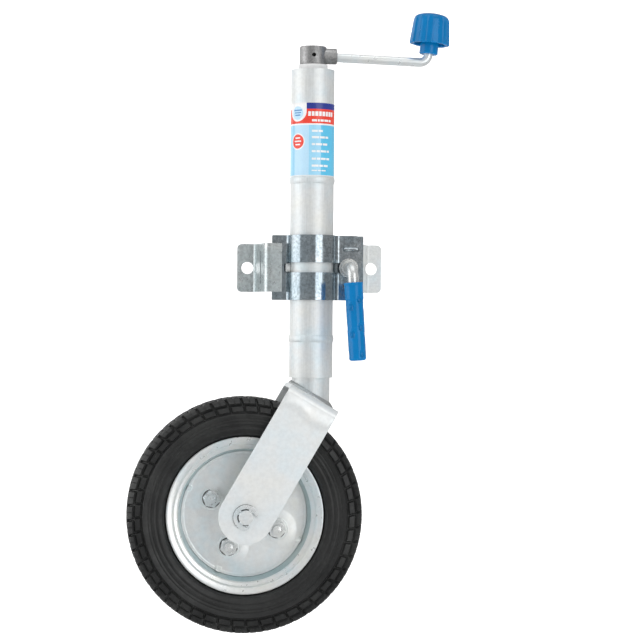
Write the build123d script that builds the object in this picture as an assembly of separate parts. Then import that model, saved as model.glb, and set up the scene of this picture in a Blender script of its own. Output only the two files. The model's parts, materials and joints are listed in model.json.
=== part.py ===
"""A trailer jockey wheel: a wind-down wheel on a telescopic leg, held by a bolt-on split clamp.

Frame, in millimetres: the origin is midway between the two bolt holes of the mounting ears, on the
plane that bolts against the trailer. +Z is up the leg, +Y points out of that plane into the trailer,
and +X runs along the row of holes, towards the clamp screw.
"""

import os
from math import cos, radians, sin, sqrt, tan

from build123d import *

# Mounting ears and the leg's axis
HOLE_SPACING = 140.0
HOLE_R = 6.75
EAR_SPAN = 163.0
EAR_HEIGHT = 54.0
EAR_PLATE = 4.0
EAR_CORNER_R = 5.0
LEG_Y = -32.0

# Telescopic leg
OUTER_R = 24.15
OUTER_BORE_R = 21.55
OUTER_LOW = -122.0
OUTER_HIGH = 220.0
BEAD_HEIGHTS = (-78.6, 97.0)
BEAD_WIDTH = 8.4
BEAD_PROUD = 1.1
INNER_R = 21.2
INNER_BORE_R = 18.6
INNER_HIGH = 190.0
LABEL_LOW = 101.4
LABEL_HIGH = 182.0
LABEL_THICK = 0.2
LABEL_GAP_DEG = 40.0

# Lift screw, its nut and its thrust bearing
SCREW_R = 9.9
SCREW_NECK_R = 9.0
SCREW_LOW = -62.0
SCREW_SHOULDER_LOW = 199.0
SCREW_SHOULDER_HIGH = 204.0
SCREW_SHOULDER_R = 14.0
SCREW_HIGH = 242.0
RUNNING = 0.08
CAP_LOW = 212.0
RACE_THICK = 1.8
RACE_R = 18.0
BALL_R = 2.15
BALL_COUNT = 14
BALL_CIRCLE_R = 14.5
NUT_LENGTH = 22.0
NUT_FLANGE = 4.0
RING_THICK = 3.0
RING_R = 19.4
RING_BORE_R = 12.5
WASHER_R = 16.5

# Crank
HUB_R = 15.0
HUB_LOW = 226.0
HUB_HIGH = 246.3
HUB_BOSS_R = 8.8
HUB_BOSS_END = 26.6
PIN_R = 2.25
PIN_BORE_R = 1.3
PIN_HEIGHT = 236.0
PIN_LENGTH = 28.0
ROD_R = 5.0
ROD_START_X = 12.5
ROD_START_Z = 235.2
ARM_REACH = 128.8
ARM_DROOP_DEG = 2.1
ROD_BEND_R = 9.8
KNOB_LEAN_DEG = 5.0
KNOB_RISE = 9.6
ROD_IN_KNOB = 31.0

# Crank knob, measured along its own axis from the foot of its neck
NECK_R = 10.3
NECK_HEIGHT = 11.0
SKIRT_R = 22.4
SHOULDER_R = 20.1
SHOULDER_HEIGHT = 37.0
KNOB_HEIGHT = 46.0
KNOB_WALL = 2.6
KNOB_FLAT_R = 2.0
FLUTE_COUNT = 9
FLUTE_R = 5.5
FLUTE_DEPTH = 1.7
FLUTE_PHASE_DEG = -61.0

# Split clamp
CLAMP_HEIGHT = 72.0
CLAMP_PLATE = 3.0
CLAMP_BORE_R = OUTER_R + 0.3
SADDLE_BEND_R = 6.5
STRAP_FLANGE_H = 3.5
BACK_FLANGE_H = 7.5
FLANGE_LEFT = -43.7
STRAP_RIGHT = 54.5
BACK_RIGHT = 58.7
FLANGE_CORNER_R = 6.0
SLOT_LEFT = -31.0
SLOT_RIGHT = 47.0
SLOT_HALF = 5.5
RIB_LEFT = 34.5
RIB_RIGHT = 53.0
RIB_HEIGHT = 20.8
RIB_TALL = 4.6
RIB_DEEP = 1.0
TAB_HALF = 18.0
TAB_END = -56.1

# Clamp screw and its handle
SCREW_X = 41.0
SHANK_R = 4.9
SHANK_END_Y = -5.0
SHANK_HOLE_R = 5.6
STRAP_FACE_Y = LEG_Y - STRAP_FLANGE_H - CLAMP_PLATE / 2
CLAMP_WASHER_R = 10.5
CLAMP_WASHER = 2.5
COLLAR_R = 9.0
COLLAR = 4.0
HANDLE_ROD_R = 6.0
HANDLE_Y = -80.0
HANDLE_BEND_R = 12.0
HANDLE_LEAN_DEG = 3.7
HANDLE_ROD_LENGTH = 97.0
GRIP_TOP = -16.6
GRIP_LENGTH = 85.7
GRIP_LIP_R = 10.7
GRIP_HEAD_R = 10.2
GRIP_HEAD = 18.5
GRIP_R = 9.7
GRIP_END_R = 9.4
DIMPLE_R = 5.0
DIMPLE_DEEP = 1.2
DIMPLE_PITCH = 29.9
NUT_ACROSS_FLATS = 17.0
NUT_THICK = 8.0
RIVET_X = 45.5
RIVET_Z = 19.0
RIVET_R = 3.0
RIVET_HEAD_R = 5.0

# Fork, in a frame whose +Z runs from the axle up the fork and which leans about +Y
FORK_LEAN_DEG = 30.0
AXLE_X = -73.4
AXLE_Z = -273.6
FORK_WIDTH = 60.0
FORK_PLATE = 5.0
FORK_OUTSIDE = 94.0
FORK_TOP = 150.5
FORK_BEND_R = 7.5
JOGGLE_HEIGHT = 128.0
JOGGLE_DEEP = 0.8
WELD_LEG = 4.0

# Axle and clips, along the axle from the wheel's middle plane
AXLE_R = 8.0
AXLE_HALF = 52.5
AXLE_GROOVE_R = 6.4
CLIP_IN = FORK_OUTSIDE / 2 + 0.1
CLIP_THICK = 1.6
CLIP_R = 13.8
CLIP_BORE_R = 9.4
CLIP_LUG = 5.0
CLIP_OPEN_DEG = -38.0
HUB_TUBE_R = 17.0
HUB_TUBE_BORE_R = 14.0
HUB_TUBE_HALF = 30.0
BUSH_FLANGE_R = 18.5
BUSH_FLANGE = 2.0
SPACER_R = 12.0

# Wheel, in a frame whose +Z runs along the axle, out of the side with the nuts
TYRE_R = 130.0
TYRE_HALF = 35.0
LIP_R = 85.0
LIP_OUT = 28.5
RIM_PLATE = 2.5
BARREL_R = 67.0
BARREL_MOUTH_R = 73.0
BARREL_MOUTH = 19.0
DISC_R = 66.8
DISC_THICK = 2.5
BOLT_CIRCLE_R = 40.0
BOLT_COUNT = 4
BOLT_PHASE_DEG = 65.0
BOLT_R = 5.0
BOLT_HOLE_R = 5.25
BOSS_R = 16.0
BOSS_TOP_R = 12.0
BOSS_PROUD = 3.0
BOLT_HEAD = 6.4
BOLT_END = 3.2
NOTCH_R = 4.0

LEG = Pos(0, LEG_Y, 0)
FORK = Pos(AXLE_X, LEG_Y, AXLE_Z) * Rot(0, FORK_LEAN_DEG, 0)
WHEEL = Pos(AXLE_X, LEG_Y, AXLE_Z) * Rot(90, 0, 0)
SCREW_AXIS = Pos(SCREW_X, 0, 0) * Rot(90, 0, 0)


# Building blocks


def ring(outer_r, bore_r, low, high):
    """A washer or tube about Z, from low to high."""
    body = Pos(0, 0, low) * Cylinder(outer_r, high - low, align=(Align.CENTER, Align.CENTER, Align.MIN))
    if bore_r > 0:
        body -= Pos(0, 0, low) * Cylinder(bore_r, high - low, align=(Align.CENTER, Align.CENTER, Align.MIN))
    return body


def turned(points):
    """A solid of revolution about Z, from (radius, height) points of its half outline."""
    outline = Polyline(*[(r, 0, z) for r, z in points], close=True)
    return revolve(make_face(outline.edges()), axis=Axis.Z)


def box(x, y, z):
    """A box from three (low, high) pairs."""
    size = [high - low for low, high in (x, y, z)]
    return Pos(x[0], y[0], z[0]) * Box(*size, align=(Align.MIN, Align.MIN, Align.MIN))


def hexagon(across_flats, low, high):
    """A hexagonal prism about Z."""
    face = RegularPolygon(across_flats / sqrt(3), 6)
    return Pos(0, 0, low) * extrude(face, high - low)


def chamfered_hexagon(across_flats, low, high):
    """A hexagonal nut or bolt head with its corners turned off at both ends."""
    corner = across_flats / sqrt(3)
    middle = (low + high) / 2
    half = (high - low) / 2
    turn = turned(
        [
            (0, middle - half),
            (across_flats / 2 * 0.97, middle - half),
            (corner, middle - half + 1.0),
            (corner, middle + half - 1.0),
            (across_flats / 2 * 0.97, middle + half),
            (0, middle + half),
        ]
    )
    return hexagon(across_flats, low, high) & turn


def bent_sheet(points, radius, thick, low, high):
    """A sheet bent along a line of (x, y) points, every bend to one mid-plane radius."""
    path = [Vector(*p) for p in points]
    runs = [(b - a).normalized() for a, b in zip(path, path[1:])]
    edges = []
    ends = []
    for side in (1, -1):
        offset = side * thick / 2
        normals = [Vector(-run.Y, run.X) for run in runs]
        corners = [path[0] + normals[0] * offset]
        radii = []
        for i in range(1, len(path) - 1):
            before, after = normals[i - 1], normals[i]
            corners.append(path[i] + (before + after) * (offset / (1 + before.dot(after))))
            turn = runs[i - 1].X * runs[i].Y - runs[i - 1].Y * runs[i].X
            radii.append(radius - offset if turn > 0 else radius + offset)
        corners.append(path[-1] + normals[-1] * offset)
        edges += FilletPolyline(*corners, radius=radii).edges()
        ends.append((corners[0], corners[-1]))
    edges += [Line(ends[0][0], ends[1][0]), Line(ends[0][1], ends[1][1])]
    return Pos(0, 0, low) * extrude(make_face(edges), high - low)


def saddle(flange_height, left, right):
    """One half of the split clamp about the leg, bulging towards -Y, with flanges from left to right."""
    mid_r = CLAMP_BORE_R + CLAMP_PLATE / 2
    reach = mid_r + SADDLE_BEND_R
    drop = flange_height + SADDLE_BEND_R
    bend_x = sqrt(reach**2 - drop**2)
    wrap = degrees_of(drop, bend_x)
    edges = []
    for side in (1, -1):
        offset = side * CLAMP_PLATE / 2
        line_y = -flange_height - offset
        bend_r = SADDLE_BEND_R - offset
        edges += [
            Line((left, line_y), (-bend_x, line_y)),
            CenterArc((-bend_x, -drop), bend_r, 90, wrap - 90),
            CenterArc((0, 0), mid_r + offset, 180 + wrap, 180 - 2 * wrap),
            CenterArc((bend_x, -drop), bend_r, 180 - wrap, wrap - 90),
            Line((bend_x, line_y), (right, line_y)),
        ]
    for x in (left, right):
        edges.append(Line((x, -flange_height - CLAMP_PLATE / 2), (x, -flange_height + CLAMP_PLATE / 2)))
    half = extrude(make_face(edges), CLAMP_HEIGHT)
    return Pos(0, 0, -CLAMP_HEIGHT / 2) * half


def degrees_of(opposite, adjacent):
    """The angle of a right-angled triangle, in degrees."""
    return Vector(1, 0).get_angle(Vector(adjacent, opposite))


def around(count, phase_deg, radius, thing):
    """Copies of a thing, evenly spaced on a circle about Z."""
    step = 360 / count
    return [Rot(0, 0, phase_deg + i * step) * Pos(radius, 0, 0) * thing for i in range(count)]


def mirrored(shape):
    """The same shape on the other side of the wheel's middle plane."""
    return mirror(shape, about=Plane.XY)


# Mounting brackets and the fixed half of the clamp


def rounded_ear(bracket, end):
    """Rounds the two outer corners of a bracket's ear. end is 0 for the low X end and -1 for the high."""
    corners = bracket.edges().filter_by(Axis.Y).group_by(Axis.X)[end]
    return fillet(corners, EAR_CORNER_R)


def left_ear_bracket():
    """The left ear, whose wall comes forward and ends in a lip that hooks over the strap."""
    ear_y = -EAR_PLATE / 2
    lip_y = STRAP_FACE_Y - 0.2 - EAR_PLATE / 2
    path = [(-EAR_SPAN / 2, ear_y), (-60.5, ear_y), (-50.5, lip_y), (-33.6, lip_y)]
    bracket = bent_sheet(path, 6.0, EAR_PLATE, -EAR_HEIGHT / 2, EAR_HEIGHT / 2)
    bracket = rounded_ear(bracket, 0)
    bracket -= bolt_hole(-HOLE_SPACING / 2)
    flange_y = LEG_Y + BACK_FLANGE_H
    slot_half = CLAMP_PLATE / 2 + 0.1
    slot_y = (flange_y - slot_half, flange_y + slot_half)
    return bracket - box((TAB_END - 4, -44.0), slot_y, (-TAB_HALF - 0.1, TAB_HALF + 0.1))


def right_ear_bracket():
    """The right ear, whose wall comes forward to a pad behind the fixed half's flange."""
    pad_y = LEG_Y + BACK_FLANGE_H + CLAMP_PLATE / 2 + EAR_PLATE / 2
    ear_y = -EAR_PLATE / 2
    path = [(32.5, pad_y), (57.0, pad_y), (63.5, ear_y), (EAR_SPAN / 2, ear_y)]
    bracket = bent_sheet(path, 6.0, EAR_PLATE, -EAR_HEIGHT / 2, EAR_HEIGHT / 2)
    bracket = rounded_ear(bracket, -1)
    bracket -= bolt_hole(HOLE_SPACING / 2)
    bracket -= SCREW_AXIS * ring(SHANK_HOLE_R, 0, -5, 45)
    return bracket - rivet_holes()


def bolt_hole(x):
    """The hole through one ear."""
    return Pos(x, 0, 0) * Rot(90, 0, 0) * ring(HOLE_R, 0, -5, 12)


def rivet_holes():
    """The two rivet holes through the right flange and its pad."""
    return [Pos(RIVET_X, 0, z) * Rot(90, 0, 0) * ring(RIVET_R, 0, 15, 33) for z in (-RIVET_Z, RIVET_Z)]


def clamp_back_half():
    """The fixed half of the clamp: a saddle behind the leg, with a tab through the left bracket's wall."""
    half = LEG * Rot(0, 0, 180) * saddle(BACK_FLANGE_H, -BACK_RIGHT, -FLANGE_LEFT)
    flange_y = LEG_Y + BACK_FLANGE_H
    sheet_y = (flange_y - CLAMP_PLATE / 2, flange_y + CLAMP_PLATE / 2)
    half += box((TAB_END, FLANGE_LEFT + 1), sheet_y, (-TAB_HALF, TAB_HALF))
    half -= SCREW_AXIS * ring(SHANK_HOLE_R, 0, 15, 33)
    return half - rivet_holes()


def tab_weld():
    """The bead round the tab on the inner side of the left bracket's wall."""
    flange_y = LEG_Y + BACK_FLANGE_H
    bead = box((-57.0, -48.6), (flange_y - 5.0, flange_y + 5.0), (-TAB_HALF - 3, TAB_HALF + 3))
    bead = chamfer(bead.edges().group_by(Axis.X)[-1], 2.4)
    wall_side = Pos(-60.5, -EAR_PLATE / 2, 0) * Rot(0, 0, -74.96)
    keep = wall_side * box((-10.0, 60.0), (EAR_PLATE / 2, 20.0), (-30, 30))
    return (bead & keep) - left_ear_bracket() - clamp_back_half()


def clamp_nut():
    """The hexagonal nut welded behind the right pad, which the clamp screw threads into."""
    pad_back = LEG_Y + BACK_FLANGE_H + CLAMP_PLATE / 2 + EAR_PLATE
    nut = chamfered_hexagon(NUT_ACROSS_FLATS, -pad_back - NUT_THICK, -pad_back)
    nut -= ring(SHANK_R + RUNNING, 0, 0, 40)
    return SCREW_AXIS * nut


def flange_rivets():
    """Two rivets that hold the fixed half to the right bracket."""
    front = -(LEG_Y + BACK_FLANGE_H - CLAMP_PLATE / 2)
    back = front - CLAMP_PLATE - EAR_PLATE
    head = 2.2
    half_outline = [
        (0, back - head),
        (RIVET_HEAD_R * 0.6, back - head),
        (RIVET_HEAD_R, back - 0.6),
        (RIVET_HEAD_R, back),
        (RIVET_R, back),
        (RIVET_R, front),
        (RIVET_HEAD_R, front),
        (RIVET_HEAD_R, front + 0.6),
        (RIVET_HEAD_R * 0.6, front + head),
        (0, front + head),
    ]
    rivet = turned(half_outline)
    return Compound([Pos(RIVET_X, 0, z) * Rot(90, 0, 0) * rivet for z in (-RIVET_Z, RIVET_Z)])


# The moving half of the clamp and its screw


def clamp_strap():
    """The swinging half: a saddle in front of the leg, slotted across for the screw, with two ribs."""
    strap = saddle(STRAP_FLANGE_H, FLANGE_LEFT, STRAP_RIGHT)
    strap = fillet(strap.edges().filter_by(Axis.Y).group_by(Axis.X)[-1], FLANGE_CORNER_R)
    strap = LEG * strap
    slot = box((SLOT_LEFT, SLOT_RIGHT), (-70, -33), (-SLOT_HALF, SLOT_HALF))
    strap -= fillet(slot.edges().filter_by(Axis.Y), 2.5)
    for z in (-RIB_HEIGHT, RIB_HEIGHT):
        groove_y = (STRAP_FACE_Y - 2, STRAP_FACE_Y + RIB_DEEP)
        groove = box((RIB_LEFT, RIB_RIGHT), groove_y, (z - RIB_TALL / 2, z + RIB_TALL / 2))
        strap -= fillet(groove.edges().filter_by(Axis.Y), 1.2)
    return strap


def clamp_washer():
    """The plain washer between the strap and the screw's collar."""
    face = -STRAP_FACE_Y + 0.05
    return SCREW_AXIS * ring(CLAMP_WASHER_R, SHANK_R + 0.3, face, face + CLAMP_WASHER)


def clamp_screw():
    """The clamp screw: a threaded shank and a collar, and the same bar bent down as a handle."""
    collar_back = -STRAP_FACE_Y + 0.1 + CLAMP_WASHER
    collar_front = collar_back + COLLAR
    turned_part = turned(
        [
            (0, -SHANK_END_Y),
            (SHANK_R - 1.2, -SHANK_END_Y),
            (SHANK_R, -SHANK_END_Y + 1.2),
            (SHANK_R, collar_back),
            (COLLAR_R, collar_back),
            (COLLAR_R, collar_front - 1),
            (COLLAR_R - 1, collar_front),
            (0, collar_front),
        ]
    )
    lean = radians(HANDLE_LEAN_DEG)
    corner = Vector(SCREW_X, HANDLE_Y, 0)
    start = Vector(SCREW_X, -collar_front + 0.5, 0)
    foot = corner + Vector(sin(lean), 0, -cos(lean)) * HANDLE_ROD_LENGTH
    path = FilletPolyline(start, corner, foot, radius=HANDLE_BEND_R)
    section = Plane(origin=start, z_dir=(0, -1, 0)) * Circle(HANDLE_ROD_R)
    return SCREW_AXIS * turned_part + sweep(section, path=path)


def clamp_grip():
    """The moulded grip on the handle, with a headed top and small staggered thumb dimples."""
    top, foot = GRIP_TOP, GRIP_TOP - GRIP_LENGTH
    grip = turned(
        [
            (0, foot),
            (GRIP_END_R - 3.0, foot),
            (GRIP_END_R - 0.9, foot + 0.9),
            (GRIP_END_R, foot + 3.0),
            (GRIP_R, top - GRIP_HEAD - 1.0),
            (GRIP_HEAD_R, top - GRIP_HEAD + 1.0),
            (GRIP_HEAD_R, top - 3.2),
            (GRIP_LIP_R, top - 2.4),
            (GRIP_LIP_R, top - 0.8),
            (GRIP_LIP_R - 0.8, top),
            (0, top),
        ]
    )
    grip -= ring(HANDLE_ROD_R + 0.02, 0, -HANDLE_ROD_LENGTH - 0.5, 0)
    out = GRIP_R + DIMPLE_R - DIMPLE_DEEP
    for column in range(6):
        first = 18.9 if column % 2 else 26.9
        rows = 3 if column % 2 else 2
        for row in range(rows):
            at = Rot(0, 0, -120 + 60 * column) * Pos(out, 0, top - first - row * DIMPLE_PITCH)
            grip -= at * Sphere(DIMPLE_R)
    return Pos(SCREW_X, HANDLE_Y, 0) * Rot(0, -HANDLE_LEAN_DEG, 0) * grip


# Outer tube, its cap and the thrust bearing


def outer_tube():
    """The outer tube, with two rolled beads that stop it sliding out of the clamp."""
    tube = ring(OUTER_R, OUTER_BORE_R, OUTER_LOW, OUTER_HIGH)
    for z in BEAD_HEIGHTS:
        low = z - BEAD_WIDTH / 2
        high = z + BEAD_WIDTH / 2
        crown = ThreePointArc((OUTER_R, 0, low), (OUTER_R + BEAD_PROUD, 0, z), (OUTER_R, 0, high))
        inside = Polyline((OUTER_R, 0, low), (OUTER_R - 1, 0, low), (OUTER_R - 1, 0, high), (OUTER_R, 0, high))
        tube += revolve(make_face([crown.edge(), *inside.edges()]), axis=Axis.Z)
    return LEG * tube


def tube_label():
    """The printed label, a thin sleeve that leaves a gap behind the tube."""
    sleeve = ring(OUTER_R + LABEL_THICK, OUTER_R, LABEL_LOW, LABEL_HIGH)
    reach = 2 * OUTER_R
    spread = reach * tan(radians(LABEL_GAP_DEG / 2))
    gap = make_face(Polyline((0, 0), (-spread, reach), (spread, reach), close=True).edges())
    return LEG * (sleeve - Pos(0, 0, LABEL_LOW - 1) * extrude(gap, LABEL_HIGH - LABEL_LOW + 2))


def top_cap():
    """The steel plug in the top of the outer tube that the lift screw's neck runs in."""
    return LEG * ring(OUTER_BORE_R, SCREW_NECK_R + RUNNING, CAP_LOW, OUTER_HIGH)


def bearing_upper_race():
    """The fixed race of the thrust bearing, under the cap."""
    return LEG * ring(RACE_R, SCREW_NECK_R + 0.5, CAP_LOW - RACE_THICK, CAP_LOW)


def bearing_balls():
    """The balls of the thrust bearing."""
    height = (SCREW_SHOULDER_HIGH + CAP_LOW) / 2
    balls = around(BALL_COUNT, 0, BALL_CIRCLE_R, Pos(0, 0, height) * Sphere(BALL_R))
    return Compound([LEG * ball for ball in balls])


def bearing_lower_race():
    """The turning race of the thrust bearing, on the screw's shoulder."""
    return LEG * ring(RACE_R, SCREW_NECK_R, SCREW_SHOULDER_HIGH, SCREW_SHOULDER_HIGH + RACE_THICK)


def thrust_washer():
    """The white plastic washer between the tube's cap and the crank hub."""
    return LEG * ring(WASHER_R, SCREW_NECK_R + RUNNING, OUTER_HIGH, HUB_LOW - 0.15)


# Lift screw and crank


def cross_pin_hole():
    """The hole for the pin through the hub and the screw, along Y."""
    return Pos(0, 0, PIN_HEIGHT) * Rot(90, 0, 0) * ring(PIN_R, 0, -HUB_R - 1, HUB_R + 1)


def lift_screw():
    """The lift screw: a long thread, a shoulder under the bearing, and a neck pinned in the hub."""
    screw = turned(
        [
            (0, SCREW_LOW),
            (SCREW_R - 2, SCREW_LOW),
            (SCREW_R, SCREW_LOW + 2),
            (SCREW_R, SCREW_SHOULDER_LOW),
            (SCREW_SHOULDER_R, SCREW_SHOULDER_LOW),
            (SCREW_SHOULDER_R, SCREW_SHOULDER_HIGH),
            (SCREW_NECK_R, SCREW_SHOULDER_HIGH),
            (SCREW_NECK_R, SCREW_HIGH),
            (0, SCREW_HIGH),
        ]
    )
    return LEG * (screw - cross_pin_hole())


def crank_hub():
    """The cast hub on top of the screw, with a side boss that holds the crank rod."""
    barrel = ring(HUB_R, 0, HUB_LOW, HUB_HIGH)
    barrel = fillet(barrel.edges().filter_by(GeomType.CIRCLE), 1.2)
    boss = Pos(0, 0, PIN_HEIGHT) * Rot(0, 90, 0) * ring(HUB_BOSS_R, 0, 0, HUB_BOSS_END)
    boss = chamfer(boss.edges().group_by(Axis.X)[-1], 0.8)
    hub = barrel + boss
    hub -= ring(SCREW_NECK_R, 0, HUB_LOW - 1, SCREW_HIGH)
    hub -= cross_pin_hole()
    return LEG * hub - crank_rod()


def hub_pin():
    """The rolled spring pin that ties the hub to the screw."""
    pin = ring(PIN_R, PIN_BORE_R, -PIN_LENGTH / 2, PIN_LENGTH / 2)
    return LEG * Pos(0, 0, PIN_HEIGHT) * Rot(90, 0, 0) * pin


def crank_corner():
    """Where the arm's axis meets the knob's axis, and the knob axis's direction."""
    drop = (ARM_REACH - ROD_START_X) * tan(radians(ARM_DROOP_DEG))
    lean = radians(KNOB_LEAN_DEG)
    return Vector(ARM_REACH, LEG_Y, ROD_START_Z - drop), Vector(sin(lean), 0, cos(lean))


def crank_rod():
    """The crank rod: an arm that droops a little, bent up into the knob's spindle."""
    corner, up = crank_corner()
    start = Vector(ROD_START_X, LEG_Y, ROD_START_Z)
    path = FilletPolyline(start, corner, corner + up * (KNOB_RISE + ROD_IN_KNOB), radius=ROD_BEND_R)
    section = Plane(origin=start, z_dir=corner - start) * Circle(ROD_R)
    return sweep(section, path=path)


def knob_place():
    """The knob's frame: +Z up its own axis, from the foot of its neck."""
    corner, up = crank_corner()
    foot = corner + up * KNOB_RISE
    return Pos(*foot) * Rot(0, KNOB_LEAN_DEG, 0)


def knob_push_nut():
    """The push-on nut that keeps the knob on the rod."""
    return knob_place() * ring(8.5, ROD_R, ROD_IN_KNOB - 2.6, ROD_IN_KNOB - 1.4)


def crank_knob():
    """The domed, fluted knob, hollow below, which turns on the end of the rod."""
    inner = SKIRT_R - KNOB_WALL - FLUTE_DEPTH
    bore = ROD_R + RUNNING
    shoulder = (15.5, 0, 43.2)
    below = [
        (KNOB_FLAT_R, KNOB_HEIGHT),
        (0, KNOB_HEIGHT),
        (0, ROD_IN_KNOB + 1),
        (8.9, ROD_IN_KNOB + 1),
        (8.9, ROD_IN_KNOB - 3.2),
        (bore, ROD_IN_KNOB - 3.2),
        (bore, 0),
        (NECK_R, 0),
        (NECK_R, SHOULDER_HEIGHT - 3),
        (inner - 2.2, SHOULDER_HEIGHT - 3),
        (inner, NECK_HEIGHT),
        (SKIRT_R, NECK_HEIGHT),
        (SHOULDER_R, SHOULDER_HEIGHT),
    ]
    sides = Polyline(*[(r, 0, z) for r, z in below])
    crown = ThreePointArc((SHOULDER_R, 0, SHOULDER_HEIGHT), (18.5, 0, 41.0), shoulder)
    dome = ThreePointArc(shoulder, (8.0, 0, 45.3), (KNOB_FLAT_R, 0, KNOB_HEIGHT))
    knob = revolve(make_face([*sides.edges(), crown.edge(), dome.edge()]), axis=Axis.Z)
    taper = 90 - degrees_of(SHOULDER_HEIGHT - NECK_HEIGHT, SKIRT_R - SHOULDER_R)
    flute = Rot(0, -taper, 0) * Cylinder(FLUTE_R, 100)
    out = SKIRT_R + NECK_HEIGHT * tan(radians(taper)) + FLUTE_R - FLUTE_DEPTH
    for cutter in around(FLUTE_COUNT, FLUTE_PHASE_DEG, out, flute):
        knob -= cutter
    return knob_place() * knob


# The nut that slides, and the inner tube that swivels on it


def lift_nut():
    """The flanged nut that rides the screw and carries the inner tube."""
    nut = turned(
        [
            (SCREW_R + RUNNING, INNER_HIGH - NUT_LENGTH),
            (INNER_BORE_R - RUNNING, INNER_HIGH - NUT_LENGTH),
            (INNER_BORE_R - RUNNING, INNER_HIGH + RUNNING),
            (INNER_R - 0.2, INNER_HIGH + RUNNING),
            (INNER_R - 0.2, INNER_HIGH + NUT_FLANGE),
            (SCREW_R + RUNNING, INNER_HIGH + NUT_FLANGE),
        ]
    )
    return LEG * nut


def ring_levels():
    """The low and high faces of the retaining ring under the nut."""
    high = INNER_HIGH - NUT_LENGTH - RUNNING
    return high - RING_THICK, high


def nut_retaining_ring():
    """The ring in the inner tube's groove that keeps the tube on the nut."""
    return LEG * ring(RING_R, RING_BORE_R, *ring_levels())


def above_fork():
    """Everything above the fork's top face, in the fork's frame."""
    return FORK * box((-200, 200), (-100, 100), (FORK_TOP, 700))


def inner_tube():
    """The inner tube, cut on the slant where it meets the top of the fork."""
    tube = ring(INNER_R, INNER_BORE_R, -200, INNER_HIGH)
    tube -= ring(RING_R, 0, *ring_levels())
    return (LEG * tube) & above_fork()


def fork():
    """The fork: one strip bent into a U, with round ends, drilled for the axle."""
    half = (FORK_OUTSIDE - FORK_PLATE) / 2
    web = FORK_TOP - FORK_PLATE / 2
    strip = bent_sheet(
        [(-half, -40), (-half, web), (half, web), (half, -40)],
        FORK_BEND_R,
        FORK_PLATE,
        -FORK_WIDTH / 2,
        FORK_WIDTH / 2,
    )
    strip = Plane(origin=(0, 0, 0), x_dir=(0, 1, 0), z_dir=(1, 0, 0)) * strip
    side = Plane.XZ * (Circle(FORK_WIDTH / 2) + Pos(0, FORK_TOP / 2) * Rectangle(FORK_WIDTH, FORK_TOP))
    strip &= extrude(side, FORK_OUTSIDE, both=True)
    strip -= Rot(90, 0, 0) * ring(AXLE_R + 0.03, 0, -60, 60)
    for face in (1, -1):
        strip -= joggle_cutter(face)
    return FORK * strip


def joggle_cutter(face):
    """The shallow step pressed into one leg's outer face, below a wavy line near the fork's top."""
    edge = FORK_WIDTH / 2 + 3
    wave = Spline(
        (-edge, JOGGLE_HEIGHT - 1.5),
        (-10, JOGGLE_HEIGHT + 4),
        (7, JOGGLE_HEIGHT - 2),
        (edge, JOGGLE_HEIGHT + 1.5),
    )
    sides = Polyline((edge, JOGGLE_HEIGHT + 1.5), (edge, -40), (-edge, -40), (-edge, JOGGLE_HEIGHT - 1.5))
    outline = make_face([wave.edge(), *sides.edges()])
    cutter = extrude(Pos(0, 0, FORK_OUTSIDE / 2 - JOGGLE_DEEP) * outline, JOGGLE_DEEP + 0.5)
    turn = 0 if face > 0 else 180
    return Rot(90, 0, 0) * Rot(0, turn, 0) * cutter


def fork_weld():
    """The fillet weld round the inner tube on top of the fork."""
    lean = radians(FORK_LEAN_DEG)
    across = INNER_R / cos(lean)
    middle = -(AXLE_X + FORK_TOP * sin(lean)) / cos(lean)
    foot = Pos(middle, 0, FORK_TOP) * Ellipse(across + WELD_LEG, INNER_R + WELD_LEG)
    crest_at = Pos(middle - WELD_LEG * tan(lean), 0, FORK_TOP + WELD_LEG)
    crest = crest_at * Ellipse(across + 0.8, INNER_R + 0.8)
    bead = FORK * loft([foot, crest], ruled=True)
    return bead - LEG * ring(INNER_R, 0, -250, 50)


# Axle


def axle():
    """The axle pin, grooved for a clip at each end."""
    groove_in, groove_out = CLIP_IN - 0.1, CLIP_IN + CLIP_THICK + 0.1
    half_outline = [
        (0, AXLE_HALF),
        (AXLE_R - 0.8, AXLE_HALF),
        (AXLE_R, AXLE_HALF - 0.8),
        (AXLE_R, groove_out),
        (AXLE_GROOVE_R, groove_out),
        (AXLE_GROOVE_R, groove_in),
        (AXLE_R, groove_in),
    ]
    other_half = [(r, -z) for r, z in reversed(half_outline)]
    return WHEEL * turned(half_outline + other_half)


def axle_clip(side):
    """An E-shaped clip in the axle's groove. side is 1 for the nut side and -1 for the other."""
    face = Circle(CLIP_R) - Circle(CLIP_BORE_R)
    for turn in (90, 180, 270):
        lug = Rectangle(CLIP_BORE_R - AXLE_GROOVE_R + 1, CLIP_LUG, align=(Align.MIN, Align.CENTER))
        face += Rot(0, 0, turn) * Pos(AXLE_GROOVE_R + 0.3, 0) * lug
    face -= Pos(CLIP_R, 0) * Rectangle(2 * CLIP_R, 2 * AXLE_GROOVE_R + 3)
    clip = Rot(0, 0, CLIP_OPEN_DEG) * extrude(face, CLIP_THICK)
    clip = Pos(0, 0, CLIP_IN) * clip
    return WHEEL * (clip if side > 0 else mirrored(clip))


def axle_spacer(side):
    """The tube that keeps the wheel's bush off the fork leg."""
    low = HUB_TUBE_HALF + BUSH_FLANGE + 0.2
    high = FORK_OUTSIDE / 2 - FORK_PLATE
    spacer = ring(SPACER_R, AXLE_R + 0.03, low, high)
    return WHEEL * (spacer if side > 0 else mirrored(spacer))


# Wheel


def hub_tube():
    """The tube through the wheel's centre that the two bushes are pressed into."""
    return WHEEL * ring(HUB_TUBE_R, HUB_TUBE_BORE_R, -HUB_TUBE_HALF, HUB_TUBE_HALF)


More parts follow.
